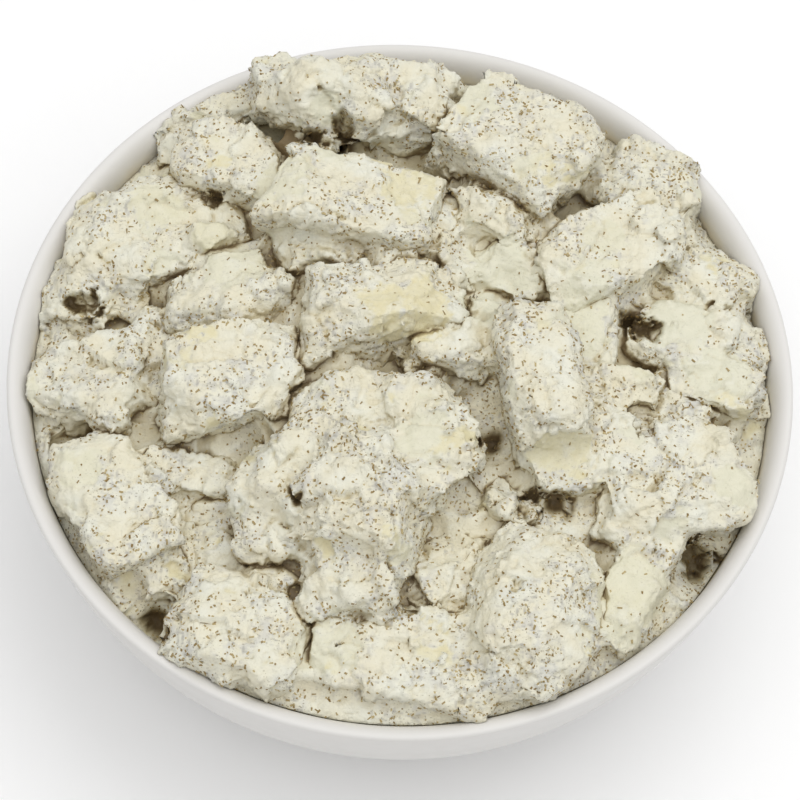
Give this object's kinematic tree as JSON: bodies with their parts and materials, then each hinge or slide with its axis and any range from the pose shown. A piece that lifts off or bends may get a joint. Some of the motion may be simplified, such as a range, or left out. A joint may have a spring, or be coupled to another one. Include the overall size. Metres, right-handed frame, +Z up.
{
  "type": "bowl of potato salad",
  "caption": "Round white bowl heaped with chunky potato salad in a thick creamy dressing with dried dill.",
  "frame": {"origin": "centre of the bowl's foot, on the surface it stands on", "axes": "+Z up out of the bowl; the picture was taken from the -Y side, with +X to its right"},
  "size_m": [0.2, 0.2, 0.0916],
  "materials": {
    "bowl_glaze": "plain white glaze with a soft satin gloss",
    "dressed_potato": null
  },
  "bodies": {
    "root": {"bowl": "bowl_glaze", "potato_salad": "dressed_potato"}
  },
  "joints": []
}
